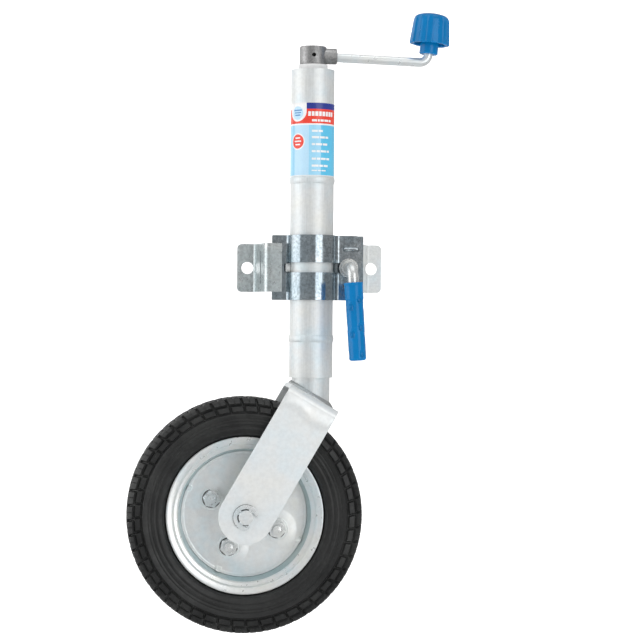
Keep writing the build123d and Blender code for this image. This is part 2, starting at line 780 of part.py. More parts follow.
def hub_bush(side):
    """A flanged plastic bush, pressed into the hub tube, that runs on the axle."""
    bush = turned(
        [
            (AXLE_R + RUNNING, HUB_TUBE_HALF - 22),
            (HUB_TUBE_BORE_R, HUB_TUBE_HALF - 22),
            (HUB_TUBE_BORE_R, HUB_TUBE_HALF),
            (BUSH_FLANGE_R, HUB_TUBE_HALF),
            (BUSH_FLANGE_R, HUB_TUBE_HALF + BUSH_FLANGE),
            (AXLE_R + RUNNING, HUB_TUBE_HALF + BUSH_FLANGE),
        ]
    )
    return WHEEL * (bush if side > 0 else mirrored(bush))


def wheel_disc(side):
    """One of the two discs bolted back to back, with a raised boss under each bolt and a notched edge."""
    disc = ring(DISC_R, HUB_TUBE_R, 0, DISC_THICK)
    boss = Cone(BOSS_R, BOSS_TOP_R, BOSS_PROUD, align=(Align.CENTER, Align.CENTER, Align.MIN))
    for raised in around(BOLT_COUNT, BOLT_PHASE_DEG, BOLT_CIRCLE_R, Pos(0, 0, DISC_THICK) * boss):
        disc += raised
    hollow_low_r = BOSS_R - DISC_THICK
    hollow_top_r = BOSS_TOP_R - DISC_THICK
    hollow = Cone(hollow_low_r, hollow_top_r, BOSS_PROUD, align=(Align.CENTER, Align.CENTER, Align.MIN))
    for inside in around(BOLT_COUNT, BOLT_PHASE_DEG, BOLT_CIRCLE_R, hollow):
        disc -= inside
    hole = ring(BOLT_HOLE_R, 0, -1, 20)
    for cutter in around(BOLT_COUNT, BOLT_PHASE_DEG, BOLT_CIRCLE_R, hole):
        disc -= cutter
    notch = ring(NOTCH_R, 0, -1, 5)
    for cutter in around(BOLT_COUNT, BOLT_PHASE_DEG, DISC_R, notch):
        disc -= cutter
    return WHEEL * (disc if side > 0 else mirrored(disc))


def rim_outline():
    """The half outline of one rim half: the barrel's seat, its flare and the rolled lip."""
    barrel_out = BARREL_R + RIM_PLATE
    mouth_out = BARREL_MOUTH_R + RIM_PLATE
    return [
        Polyline(
            (LIP_R, 0, LIP_OUT - 4.0),
            (mouth_out, 0, BARREL_MOUTH - 1.0),
            (barrel_out, 0, 4.0),
            (barrel_out, 0, 0),
            (BARREL_R, 0, 0),
            (BARREL_R, 0, 4.0),
            (BARREL_MOUTH_R, 0, BARREL_MOUTH),
        ),
        ThreePointArc((BARREL_MOUTH_R, 0, BARREL_MOUTH), (76.5, 0, 25.4), (82.0, 0, LIP_OUT)),
        ThreePointArc((82.0, 0, LIP_OUT), (84.3, 0, 27.6), (LIP_R, 0, LIP_OUT - 4.0)),
    ]


def rim_half(side):
    """One half of the split rim."""
    edges = [edge for part in rim_outline() for edge in part.edges()]
    rim = revolve(make_face(edges), axis=Axis.Z)
    return WHEEL * (rim if side > 0 else mirrored(rim))


def tyre():
    """The solid tyre, seated on both rim halves."""
    seat = BARREL_R + RIM_PLATE + 0.1
    mouth = BARREL_MOUTH_R + RIM_PLATE + 0.2
    near = [
        (seat, 0),
        (seat, 4.0),
        (mouth, BARREL_MOUTH - 1.2),
        (LIP_R + 0.2, LIP_OUT - 4.4),
        (88.5, 27.5),
        (97.0, 32.0),
        (101.0, 33.6),
        (112.0, TYRE_HALF - 0.4),
        (119.0, TYRE_HALF),
        (125.0, 31.0),
        (128.8, 23.0),
        (TYRE_R, 11.0),
        (TYRE_R, 0),
    ]
    far = [(r, -z) for r, z in reversed(near[1:-1])]
    return WHEEL * turned(near + far)


def wheel_bolts():
    """The four bolts, with their heads on the far side."""
    seat = DISC_THICK + BOSS_PROUD
    head = chamfered_hexagon(NUT_ACROSS_FLATS, -seat - BOLT_HEAD, -seat)
    end = seat + NUT_THICK + BOLT_END
    shank = turned([(0, -seat - 1), (BOLT_R, -seat - 1), (BOLT_R, end - 1.2), (BOLT_R - 1.2, end), (0, end)])
    bolts = around(BOLT_COUNT, BOLT_PHASE_DEG, BOLT_CIRCLE_R, head + shank)
    return Compound([WHEEL * bolt for bolt in bolts])


def wheel_nuts():
    """The four nuts on the near side."""
    seat = DISC_THICK + BOSS_PROUD
    nut = chamfered_hexagon(NUT_ACROSS_FLATS, seat, seat + NUT_THICK) - ring(BOLT_R, 0, 0, 30)
    nuts = around(BOLT_COUNT, BOLT_PHASE_DEG, BOLT_CIRCLE_R, Rot(0, 0, 12) * nut)
    return Compound([WHEEL * nut for nut in nuts])


NODES = {
    "left_ear_bracket": left_ear_bracket,
    "right_ear_bracket": right_ear_bracket,
    "clamp_back_half": clamp_back_half,
    "tab_weld": tab_weld,
    "clamp_nut": clamp_nut,
    "flange_rivets": flange_rivets,
    "clamp_strap": clamp_strap,
    "clamp_washer": clamp_washer,
    "clamp_screw": clamp_screw,
    "clamp_grip": clamp_grip,
    "outer_tube": outer_tube,
    "tube_label": tube_label,
    "top_cap": top_cap,
    "bearing_upper_race": bearing_upper_race,
    "bearing_balls": bearing_balls,
    "bearing_lower_race": bearing_lower_race,
    "thrust_washer": thrust_washer,
    "lift_screw": lift_screw,
    "crank_hub": crank_hub,
    "hub_pin": hub_pin,
    "crank_rod": crank_rod,
    "knob_push_nut": knob_push_nut,
    "crank_knob": crank_knob,
    "lift_nut": lift_nut,
    "nut_retaining_ring": nut_retaining_ring,
    "inner_tube": inner_tube,
    "fork": fork,
    "fork_weld": fork_weld,
    "axle": axle,
    "near_axle_clip": lambda: axle_clip(1),
    "far_axle_clip": lambda: axle_clip(-1),
    "near_spacer": lambda: axle_spacer(1),
    "far_spacer": lambda: axle_spacer(-1),
    "hub_tube": hub_tube,
    "near_bush": lambda: hub_bush(1),
    "far_bush": lambda: hub_bush(-1),
    "near_wheel_disc": lambda: wheel_disc(1),
    "far_wheel_disc": lambda: wheel_disc(-1),
    "near_rim": lambda: rim_half(1),
    "far_rim": lambda: rim_half(-1),
    "tyre": tyre,
    "wheel_bolts": wheel_bolts,
    "wheel_nuts": wheel_nuts,
}

os.makedirs("parts", exist_ok=True)
for name, build in NODES.items():
    export_step(build(), f"parts/{name}.step")
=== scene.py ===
"""Looks, lights and camera for the trailer jockey wheel.

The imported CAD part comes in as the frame. The tyre, knob, grip, crank rod, weld bead, discs, rims, bolt
threads and printed label are built here in finer detail, pressed and machined parts get rounded edges, and
every piece gets a procedural material. Lengths are in metres in the row frame; the builders below work in
millimetres and scale once, in piece().
"""

import json
from math import atan2, cos, degrees, hypot, pi, radians, sin, sqrt, tan

import bmesh
import bpy
import numpy as np
from mathutils import Matrix, Vector

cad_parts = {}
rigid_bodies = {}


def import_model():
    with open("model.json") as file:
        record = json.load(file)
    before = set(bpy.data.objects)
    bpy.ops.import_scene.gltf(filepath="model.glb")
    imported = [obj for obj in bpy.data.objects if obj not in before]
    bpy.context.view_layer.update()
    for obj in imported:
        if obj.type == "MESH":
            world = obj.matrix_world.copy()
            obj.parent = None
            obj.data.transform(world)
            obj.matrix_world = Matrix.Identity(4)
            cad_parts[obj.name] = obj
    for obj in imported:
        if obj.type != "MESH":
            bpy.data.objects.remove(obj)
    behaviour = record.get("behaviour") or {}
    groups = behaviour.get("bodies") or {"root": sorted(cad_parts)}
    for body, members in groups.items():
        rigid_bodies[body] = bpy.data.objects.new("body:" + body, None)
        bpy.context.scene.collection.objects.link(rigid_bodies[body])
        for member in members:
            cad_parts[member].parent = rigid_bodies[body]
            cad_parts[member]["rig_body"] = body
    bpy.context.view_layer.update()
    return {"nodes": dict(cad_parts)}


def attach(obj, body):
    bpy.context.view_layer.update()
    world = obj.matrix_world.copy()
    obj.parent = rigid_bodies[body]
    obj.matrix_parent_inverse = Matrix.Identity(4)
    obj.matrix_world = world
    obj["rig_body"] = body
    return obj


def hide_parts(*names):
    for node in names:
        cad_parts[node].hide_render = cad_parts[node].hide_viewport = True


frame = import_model()

MM = 0.001
LEG_Y = -32.0
TUBE_R = 24.15
INNER_TUBE_R = 21.2
AXLE = Vector((-73.4, LEG_Y, -273.6))
FORK_LEAN = radians(30)
# Lower than the wheel at rest, so that the leg can wind out above it
FLOOR = -640.0


# Materials


def srgb(red, green, blue):
    """Linear colour from 0 to 255 display values."""
    out = []
    for value in (red, green, blue):
        v = value / 255
        out.append(v / 12.92 if v <= 0.04045 else ((v + 0.055) / 1.055) ** 2.4)
    return (*out, 1.0)


def noise(nodes, links, coords, scale, detail, stretch=None):
    """A noise texture in object space. scale is in cycles per metre."""
    tex = nodes.new("ShaderNodeTexNoise")
    tex.inputs["Scale"].default_value = scale
    tex.inputs["Detail"].default_value = detail
    tex.inputs["Roughness"].default_value = 0.55
    source = coords
    if stretch:
        mapping = nodes.new("ShaderNodeMapping")
        mapping.inputs["Scale"].default_value = stretch
        links.new(coords, mapping.inputs["Vector"])
        source = mapping.outputs["Vector"]
    links.new(source, tex.inputs["Vector"])
    return tex.outputs["Fac"]


def ramp(nodes, links, fac, stops):
    """A colour ramp through (position, colour) stops."""
    node = nodes.new("ShaderNodeValToRGB")
    elements = node.color_ramp.elements
    while len(elements) < len(stops):
        elements.new(0.5)
    for element, (position, colour) in zip(elements, stops):
        element.position = position
        element.color = colour
    links.new(fac, node.inputs["Fac"])
    return node.outputs["Color"]


def spread(nodes, links, fac, low, high, source_low=0.3, source_high=0.7):
    """A noise value carried into a range."""
    node = nodes.new("ShaderNodeMapRange")
    node.inputs["From Min"].default_value = source_low
    node.inputs["From Max"].default_value = source_high
    node.inputs["To Min"].default_value = low
    node.inputs["To Max"].default_value = high
    links.new(fac, node.inputs["Value"])
    return node.outputs["Result"]


def multiply(nodes, links, a, b):
    """Two colours multiplied."""
    node = nodes.new("ShaderNodeMix")
    node.data_type = "RGBA"
    node.blend_type = "MULTIPLY"
    node.inputs["Factor"].default_value = 1.0
    links.new(a, node.inputs["A"])
    links.new(b, node.inputs["B"])
    return node.outputs["Result"]


def grey(value):
    """A grey of that linear value."""
    return (value, value, value, 1.0)


def surface(name, tones, rough, metallic, spots=None, grain=None, bumps=(), **sockets):
    """A procedural material.

    tones are ramp stops spread over broad patches. rough is (low, high). spots is (scale, darkening) for
    fine mottling. grain is (scale, stretch, darkening) for drawn lines, which also work on the roughness.
    bumps is a list of (scale, height in mm, stretch). sockets sets plain values on the shader itself.
    """
    mat = bpy.data.materials.new(name)
    mat.use_nodes = True
    nodes, links = mat.node_tree.nodes, mat.node_tree.links
    shader = nodes["Principled BSDF"]
    coords = nodes.new("ShaderNodeTexCoord").outputs["Object"]
    broad = noise(nodes, links, coords, 28, 3)
    colour = ramp(nodes, links, broad, tones)
    wear = noise(nodes, links, coords, 140, 7)
    if spots:
        scale, dark = spots
        fine = noise(nodes, links, coords, scale, 3)
        mottle = ramp(nodes, links, fine, [(0.36, grey(1 - dark)), (0.62, grey(1))])
        colour = multiply(nodes, links, colour, mottle)
    if grain:
        scale, stretch, dark = grain
        lines = noise(nodes, links, coords, scale, 2, stretch)
        streaks = ramp(nodes, links, lines, [(0.35, grey(1 - dark)), (0.65, grey(1))])
        colour = multiply(nodes, links, colour, streaks)
        wear = lines
    links.new(colour, shader.inputs["Base Color"])
    links.new(spread(nodes, links, wear, *rough), shader.inputs["Roughness"])
    normal = None
    for scale, height, stretch in bumps:
        bump = nodes.new("ShaderNodeBump")
        bump.inputs["Strength"].default_value = 1.0
        bump.inputs["Distance"].default_value = height * MM
        links.new(noise(nodes, links, coords, scale, 4, stretch), bump.inputs["Height"])
        if normal:
            links.new(normal, bump.inputs["Normal"])
        normal = bump.outputs["Normal"]
    if normal:
        links.new(normal, shader.inputs["Normal"])
    shader.inputs["Metallic"].default_value = metallic
    for socket, value in sockets.items():
        shader.inputs[socket.replace("_", " ")].default_value = value
    return mat


def zinc(name, level, rough, metallic, mottle=0.10, spot_scale=420, grain=None, bumps=(), tint=1.0):
    """Bright zinc plate: a cool grey with faint blue and straw patches."""
    blue = (level * (0.97 - 0.08 * tint), level, level * (1.02 + 0.02 * tint), 1)
    plain = (level * 0.965, level, level * 1.005, 1)
    straw = (level * 0.985, level, level * (1 - 0.03 * tint), 1)
    tones = [(0.30, blue), (0.50, plain), (0.68, straw)]
    return surface(name, tones, rough, metallic, (spot_scale, mottle), grain, bumps)


DRAWN = (1, 1, 0.03)
MATERIALS = {
    "plate": surface(
        "zinc_plate",
        [(0.30, (0.64, 0.72, 0.74, 1)), (0.50, (0.68, 0.75, 0.76, 1)), (0.68, (0.74, 0.77, 0.77, 1))],
        (0.24, 0.38),
        0.80,
        (340, 0.24),
        None,
        [(160, 0.03, None), (900, 0.006, None)],
    ),
    "strap": surface(
        "zinc_strap",
        [(0.30, (0.43, 0.52, 0.58, 1)), (0.50, (0.49, 0.57, 0.62, 1)), (0.68, (0.57, 0.62, 0.65, 1))],
        (0.11, 0.22),
        0.92,
        (340, 0.32),
        None,
        [(160, 0.03, None), (900, 0.006, None)],
    ),
    "nut": zinc("zinc_nut", 0.90, (0.24, 0.34), 0.55, 0.03, 500, None, [(120, 0.02, None)]),
    "pad": zinc(
        "zinc_pad", 0.80, (0.36, 0.54), 0.45, bumps=[(160, 0.03, None), (900, 0.012, None)]
    ),
    "tube": zinc(
        "zinc_tube",
        0.84,
        (0.42, 0.58),
        0.52,
        0.06,
        300,
        (700, DRAWN, 0.08),
        [(700, 0.005, DRAWN), (60, 0.04, None)],
    ),
    "fork": zinc(
        "zinc_fork", 0.87, (0.34, 0.50), 0.40, 0.06, 260, None, [(90, 0.06, None), (700, 0.012, None)], 0.6
    ),
    "rim": zinc("zinc_rim", 0.90, (0.26, 0.38), 0.55, 0.05, 240, None, [(40, 0.05, None)], 1.3),
    "disc": zinc(
        "zinc_disc", 0.93, (0.28, 0.42), 0.42, 0.06, 240, None, [(30, 0.08, None), (160, 0.010, None)]
    ),
    "hardware": zinc("zinc_hardware", 0.80, (0.22, 0.34), 0.7, 0.08, 700, None, [(300, 0.010, None)]),
    "rod": zinc("zinc_rod", 0.86, (0.26, 0.32), 0.6, 0.02, 300, None, [(60, 0.010, None)]),
    # Darker teal grey: painted shade on the steep inner wall of the rim half
    "rim_wall": surface(
        "rim_wall_painted_shade",
        [(0.30, (0.42, 0.55, 0.57, 1)), (0.50, (0.47, 0.58, 0.60, 1)), (0.68, (0.53, 0.61, 0.62, 1))],
        (0.28, 0.40),
        0.75,
        (240, 0.06),
        None,
        [(40, 0.05, None)],
    ),
    "weld": zinc(
        "weld_bead", 0.62, (0.30, 0.50), 0.9, 0.20, 500, None, [(500, 0.08, None), (1500, 0.02, None)]
    ),
    "steel": surface(
        "oiled_steel",
        [(0.3, grey(0.30)), (0.7, grey(0.42))],
        (0.25, 0.45),
        1.0,
        (600, 0.2),
        None,
        [(900, 0.01, None)],
    ),
    # Near-black, used only for painted shade: the shadowed gaps round the axle clips and the wheel nuts
    "painted_shade": surface(
        "painted_shade_line",
        [(0.3, grey(0.07)), (0.7, grey(0.15))],
        (0.3, 0.5),
        0.0,
        (900, 0.3),
        None,
        [(600, 0.02, None)],
    ),
    "dark_pin": surface(
        "black_spring_steel",
        [(0.3, grey(0.010)), (0.7, grey(0.020))],
        (0.4, 0.6),
        0.8,
        (900, 0.3),
        None,
        [(900, 0.02, None)],
    ),
    "cast": surface(
        "cast_hub",
        [(0.30, grey(0.38)), (0.55, grey(0.48)), (0.72, grey(0.55))],
        (0.36, 0.58),
        0.9,
        (650, 0.30),
        None,
        [(420, 0.16, None), (1300, 0.06, None)],
    ),
    "blue": surface(
        "blue_plastic",
        [(0.30, srgb(0, 108, 168)), (0.70, srgb(0, 120, 184))],
        (0.16, 0.30),
        0.0,
        (900, 0.05),
        None,
        [(70, 0.05, None), (1400, 0.010, None)],
        Specular_IOR_Level=0.14,
        Coat_Weight=0.28,
        Coat_Roughness=0.03,
    ),
    "nylon": surface(
        "white_nylon",
        [(0.3, grey(0.78)), (0.7, grey(0.86))],
        (0.35, 0.5),
        0.0,
        (500, 0.06),
        None,
        [(800, 0.02, None)],
    ),
    "black_nylon": surface(
        "black_nylon",
        [(0.3, grey(0.012)), (0.7, grey(0.02))],
        (0.35, 0.5),
        0.0,
        (500, 0.2),
        None,
        [(800, 0.02, None)],
    ),
    "rubber": surface(
        "tyre_rubber",
        [(0.30, srgb(28, 29, 29)), (0.50, srgb(36, 37, 37)), (0.70, srgb(46, 47, 46))],
        (0.36, 0.54),
        0.0,
        (380, 0.26),
        None,
        [(240, 0.10, None), (1500, 0.035, None)],
        Specular_IOR_Level=0.45,
    ),
    "film": surface(
        "label_film",
        [(0.3, grey(0.80)), (0.7, grey(0.86))],
        (0.16, 0.26),
        0.0,
        (700, 0.03),
        None,
        [(90, 0.03, None)],
    ),
}


def ink(name, low, high):
    """Printed ink under a gloss film."""
    tones = [(0.3, low), (0.7, high)]
    return surface(name, tones, (0.18, 0.28), 0.0, (900, 0.05), None, [(90, 0.03, None)])


INKS = {
    "navy": ink("ink_navy", srgb(40, 52, 130), srgb(46, 60, 142)),
    "red": ink("ink_red", srgb(222, 62, 48), srgb(232, 74, 58)),
    "white": ink("ink_white", grey(0.80), grey(0.86)),
    "sky": ink("ink_sky", srgb(150, 205, 232), srgb(158, 212, 238)),
    "aqua": ink("ink_aqua", srgb(88, 184, 222), srgb(98, 192, 228)),
    "ice": ink("ink_ice", srgb(178, 214, 236), srgb(186, 220, 240)),
    "steel_blue": ink("ink_steel_blue", srgb(90, 140, 190), srgb(100, 150, 198)),
}


# Mesh building


def piece(name, shape, at, material, body, replaces=(), crease=35):
    """A mesh piece that rides on a CAD body. shape is (vertices, faces) in millimetres, and at its place."""
    verts, faces = shape
    verts = placed(np.asarray(verts, float), at)
    mesh = bpy.data.meshes.new(name)
    mesh.from_pydata((verts * MM).tolist(), [], faces)
    mesh.validate()
    mesh.shade_smooth()
    mesh.set_sharp_from_angle(angle=radians(crease))
    mesh.materials.append(material)
    obj = bpy.data.objects.new(name, mesh)
    bpy.context.scene.collection.objects.link(obj)
    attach(obj, body)
    if replaces:
        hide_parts(*replaces)
    return obj


def grid(rows, cols, close_rows=False):
    """Quads over rows of points that wrap round in the column direction."""
    faces = []
    for i in range(rows if close_rows else rows - 1):
        a, b = i * cols, (i + 1) % rows * cols
        for j in range(cols):
            k = (j + 1) % cols
            faces.append((a + j, a + k, b + k, b + j))
    return faces


def lathe(profile, segments, push=None):
    """A closed loop of (radius, height) turned about Z. push(angle, index, radius, height) moves a point."""
    verts = []
    for i, (r, z) in enumerate(profile):
        for j in range(segments):
            angle = 2 * pi * j / segments
            rr, zz = push(angle, i, r, z) if push else (r, z)
            verts.append((rr * cos(angle), rr * sin(angle), zz))
    return np.array(verts), [tuple(reversed(f)) for f in grid(len(profile), segments, True)]


def placed(verts, matrix):
    """Vertices moved by a matrix whose lengths are in millimetres."""
    m = np.array(matrix)
    return verts @ m[:3, :3].T + m[:3, 3]


def shifted(x, y, z):
    """A place in millimetres, with no turn."""
    return Matrix.Translation(Vector((x, y, z)))


def densify(points, step):
    """Points along a polyline, no further apart than step."""
    out = [points[0]]
    for a, b in zip(points, points[1:]):
        count = max(1, int(np.ceil(hypot(b[0] - a[0], b[1] - a[1]) / step)))
        for k in range(1, count + 1):
            t = k / count
            out.append((a[0] + (b[0] - a[0]) * t, a[1] + (b[1] - a[1]) * t))
    return out


def rounded(loop, times=2):
    """A closed loop of points with its corners cut, so that it turns in small steps."""
    for _ in range(times):
        pairs = list(zip(loop, loop[1:] + loop[:1]))
        loop = [(a[0] + (b[0] - a[0]) * t, a[1] + (b[1] - a[1]) * t) for a, b in pairs for t in (0.25, 0.75)]
    return loop


def smooth(t, low, high):
    """0 below low, 1 above high, and a smooth step between."""
    x = min(1.0, max(0.0, (t - low) / (high - low)))
    return x * x * (3 - 2 * x)


IN_PLACE = Matrix.Identity(4)
WHEEL = Matrix.Translation(AXLE) @ Matrix.Rotation(radians(90), 4, "X")
FORK = Matrix.Translation(AXLE) @ Matrix.Rotation(FORK_LEAN, 4, "Y")


# Tyre

TYRE_R = 130.0
PITCHES = 48
BLOCK_STEPS = (0.0, 0.05, 0.09, 0.13, 0.17, 0.32, 0.49, 0.525, 0.56, 0.61, 0.78, 0.93, 0.965)
# The tyre's outline as (radius, width): its ribbed side, then the shoulder and tread that carry the blocks
SIDE_LINE = [
    (78.2, 0.0), (78.2, 12.0), (80.5, 19.0), (84.6, 22.4), (87.6, 24.0), (88.8, 27.6), (91.0, 30.2),
    (94.6, 31.2), (95.6, 31.9), (96.8, 32.0), (97.8, 31.6), (100.2, 32.2), (101.0, 33.0), (102.2, 33.2),
    (103.4, 32.9), (104.4, 33.5), (105.6, 33.6), (106.6, 33.1), (109.0, 33.9), (111.4, 34.3),
]
TREAD_LINE = [
    (111.4, 34.3), (112.6, 33.4), (113.2, 32.0), (120.6, 31.0), (124.6, 27.8), (126.4, 24.0), (126.9, 20.0),
    (127.0, 0.0),
]
BLOCKS_START = (113.2, 32.0)
ROW_EDGE = 0.35
FIRST_ROW_EDGE = 0.9
ROW_GAP = 0.4
SIPE = 0.525
SIPE_HEIGHT = 0.82
# Rows of blocks: where each begins and ends along the tread line, its height and its turn in pitches
ROWS = [(0.8, 7.3, 2.7, 0.0), (8.7, 17.6, 3.1, 0.10), (19.4, 27.2, 3.0, 0.60), (29.4, 37.0, 3.0, 0.10)]


def tyre_mesh():
    """The tyre: ribbed sidewalls, two rows of shoulder blocks a side, and blocks across the tread."""
    pts = np.array(densify(SIDE_LINE, 2.4) + densify(TREAD_LINE, 0.62)[1:])
    run = np.concatenate([[0], np.cumsum(np.hypot(*np.diff(pts, axis=0).T))])
    zero = run[int(np.argmin(np.hypot(*(pts - BLOCKS_START).T)))]
    tangent = np.gradient(pts, axis=0)
    tangent /= np.linalg.norm(tangent, axis=1)[:, None]
    normal = np.stack([-tangent[:, 1], tangent[:, 0]], 1) * -1
    normal[normal @ np.array([0.7, 0.7]) < 0] *= -1
    steps = np.array([(p + u) / PITCHES * 2 * pi for p in range(PITCHES) for u in BLOCK_STEPS])
    top = np.array([smooth(u, 0.06, 0.16) * (1 - smooth(u, 0.93, 1.0)) for u in BLOCK_STEPS] * PITCHES)
    sipe = np.array([SIPE_HEIGHT if abs(u - SIPE) < 0.02 else 1.0 for u in BLOCK_STEPS] * PITCHES)
    rows = []
    for (r, y), s, n in zip(pts, run - zero, normal):
        height, turn = 0.0, turn_at(s)
        for begin, end, tall, _ in ROWS:
            inner = FIRST_ROW_EDGE if begin < 1 else ROW_EDGE
            inside = smooth(s, begin - ROW_EDGE, begin + inner)
            inside *= 1 - smooth(s, end - ROW_EDGE, end + ROW_EDGE)
            height = max(height, tall * inside)
        lift = height * top
        if s > ROWS[1][0] and height > 2.5:
            lift = lift * sipe
        angle = steps + turn / PITCHES * 2 * pi
        rr, yy = r + n[0] * lift, y + n[1] * lift
        rr = np.minimum(rr, TYRE_R)
        rows.append(np.stack([rr * np.cos(angle), rr * np.sin(angle), yy], 1))
    near = np.array(rows)
    far = near[-2:0:-1].copy()
    far[:, :, 2] *= -1
    shape = np.concatenate([near, far])
    return shape.reshape(-1, 3), [tuple(reversed(f)) for f in grid(len(shape), len(steps), True)]


def turn_at(s):
    """How far the rows have turned at a place on the side line, in pitches."""
    places = [ROWS[0][0]] + [v for a, b in zip(ROWS, ROWS[1:]) for v in (a[1] + ROW_GAP, b[0] - ROW_GAP)]
    turns = [ROWS[0][3]] + [v for a, b in zip(ROWS, ROWS[1:]) for v in (a[3], b[3])]
    return float(np.interp(s, places, turns)) + 0.012 * max(0.0, s)


piece("tyre_moulded", tyre_mesh(), WHEEL, MATERIALS["rubber"], "wheel", ["tyre"], 28)


# Crank knob

ROD_START = Vector((12.5, LEG_Y, 235.2))
ARM_REACH = 128.8
ARM_DROOP = radians(2.1)
KNOB_LEAN = radians(5)
KNOB_RISE = 9.6
CORNER = Vector((ARM_REACH, LEG_Y, ROD_START.z - (ARM_REACH - ROD_START.x) * tan(ARM_DROOP)))
UP = Vector((sin(KNOB_LEAN), 0, cos(KNOB_LEAN)))
KNOB = Matrix.Translation(CORNER + UP * KNOB_RISE) @ Matrix.Rotation(KNOB_LEAN, 4, "Y")
FLUTES = 9
FLUTE_PHASE = radians(-61)
FLUTE_HALF = 4.3
FLUTE_DEPTH = 1.9
# A flute is full height up to here, then rounds off over the next few millimetres
FLUTE_TOP = 34.5
FLUTE_ROUND = 6.0


def knob_profile():
    """The knob's outline as a closed loop of (radius, height), and where its fluted side begins and ends."""
    inside = [(5.1, 28.0), (5.1, 0.6), (5.7, 0.0), (9.6, 0.0), (10.3, 0.7), (10.3, 34.0)]
    inside += [(15.4, 34.0), (17.6, 11.3)]
    rim = [(18.7, 11.0), (21.5, 11.0), (22.2, 11.4), (22.4, 12.2)]
    side = densify([(22.4, 12.2), (20.15, 36.5)], 1.4)[1:]
    arc = [(19.9, 38.2), (19.4, 39.8), (18.6, 41.3), (17.4, 42.5), (15.7, 43.5)]
    dome = [(13.0, 44.3), (10.0, 45.0), (7.0, 45.5), (4.0, 45.85), (0.05, 46.0)]
    core = [(0.05, 45.9), (0.05, 32.5), (8.8, 32.5), (8.8, 28.0)]
    loop = inside + rim + side + arc + dome + core
    return loop, len(inside), len(inside) + len(rim) + len(side) + len(arc)


def knob_mesh():
    """The knob with nine round-ended flutes."""
    loop, first, last = knob_profile()

    def push(angle, i, r, z):
        if not first <= i < last:
            return r, z
        turn = (angle - FLUTE_PHASE) / (2 * pi) * FLUTES
        across = (turn - round(turn)) * 2 * pi * r / FLUTES
        rise = max(0.0, (z - FLUTE_TOP) / FLUTE_ROUND)
        inside = 1 - (across / FLUTE_HALF) ** 2 - rise**2
        depth = FLUTE_DEPTH * sqrt(inside) if inside > 0 else 0.0
        if i < first + 4:
            depth *= (0.2, 0.6, 0.9, 1.0)[i - first]
        return r - depth, z

    return lathe(loop, FLUTES * 32, push)


piece("fluted_knob", knob_mesh(), KNOB, MATERIALS["blue"], "knob", ["crank_knob"], 30)


# Crank rod

ROD_R = 5.0
ROD_BEND = 9.8
ROD_IN_KNOB = 31.0


def rod_mesh():
    """The rod as one smooth sweep: the drooping arm, the bend and the knob's spindle."""
    along = Vector((cos(ARM_DROOP), 0, -sin(ARM_DROOP)))
    turn = pi / 2 + ARM_DROOP - KNOB_LEAN
    reach = ROD_BEND * tan(turn / 2)
    lift = Vector((sin(ARM_DROOP), 0, cos(ARM_DROOP)))
    first = CORNER - along * reach
    stations = [(ROD_START + (first - ROD_START) * t, along) for t in np.linspace(0, 1, 40)]
    for k in range(1, 25):
        angle = turn * k / 24
        point = first + along * ROD_BEND * sin(angle) + lift * ROD_BEND * (1 - cos(angle))
        stations.append((point, along * cos(angle) + lift * sin(angle)))
    last = CORNER + UP * reach
    stations += [(last + UP * (KNOB_RISE + ROD_IN_KNOB - reach) * t, UP) for t in (0.25, 0.5, 0.75, 1.0)]
    verts = []
    side = Vector((0, 1, 0))
    count = 48
    for point, direction in stations:
        other = direction.cross(side)
        verts += [
            tuple(point + side * ROD_R * cos(2 * pi * j / count) + other * ROD_R * sin(2 * pi * j / count))
            for j in range(count)
        ]
    faces = [tuple(reversed(f)) for f in grid(len(stations), count)]
    base = (len(stations) - 1) * count
    return verts, faces + [tuple(range(count)), tuple(range(base + count - 1, base - 1, -1))]


piece("swept_rod", rod_mesh(), IN_PLACE, MATERIALS["rod"], "crank", ["crank_rod"], 40)


# Clamp handle grip

GRIP = shifted(41.0, -80.0, 0) @ Matrix.Rotation(-radians(3.7), 4, "Y")
GRIP_TOP = -16.6
GRIP_LENGTH = 85.7
DIMPLE_DEPTH = 2.2
DIMPLE_HALF = 3.1
DIMPLE_HALF_TALL = 4.3
DIMPLE_PITCH = 29.9


def grip_profile():
    """The grip's outline as a closed loop of (radius, height)."""
    top = GRIP_TOP
    foot = GRIP_TOP - GRIP_LENGTH
    head = [(6.05, top - 0.5), (6.5, top), (9.6, top), (10.4, top - 0.4), (10.7, top - 1.2)]
    head += [(10.6, top - 2.2), (10.2, top - 3.0), (10.2, top - 17.4), (10.0, top - 18.6), (9.7, top - 19.4)]
    body = densify([(9.7, top - 19.4), (9.45, foot + 3.2)], 0.7)[1:]
    end = [(9.3, foot + 2.0), (8.8, foot + 0.9), (7.8, foot + 0.2), (6.5, foot), (0.05, foot)]
    core = [(0.05, foot + 3.2), (6.05, foot + 3.2)]
    return densify(head[:8], 1.2) + head[8:] + body + end + core


def grip_mesh():
    """The grip with staggered oval thumb dimples."""
    dimples = []
    for column in range(6):
        angle = radians(-120 + 60 * column)
        first, count = (18.9, 3) if column % 2 else (26.9, 2)
        dimples += [(angle, GRIP_TOP - first - DIMPLE_PITCH * row) for row in range(count)]

    def push(angle, i, r, z):
        if r < 9.0:
            return r, z
        depth = 0.0
        for at, height in dimples:
            turn = atan2(sin(angle - at), cos(angle - at)) * r
            inside = 1 - (turn / DIMPLE_HALF) ** 2 - ((z - height) / DIMPLE_HALF_TALL) ** 2
            if inside > 0:
                depth = max(depth, DIMPLE_DEPTH * sqrt(inside) ** 1.2)
        return r - depth, z

    return lathe(grip_profile(), 120, push)


plastic = MATERIALS["blue"]
piece("dimpled_grip", grip_mesh(), GRIP, plastic, "clamp_handle", ["clamp_grip"], 30)


# Weld round the inner tube

FORK_TOP = 150.5
WELD_LINE = [
    (-0.6, 0.0), (2.2, -0.15), (4.0, -0.15), (4.1, 0.5), (3.4, 1.5), (2.4, 2.5), (1.3, 3.4), (0.5, 3.9),
    (-0.6, 3.9),
]


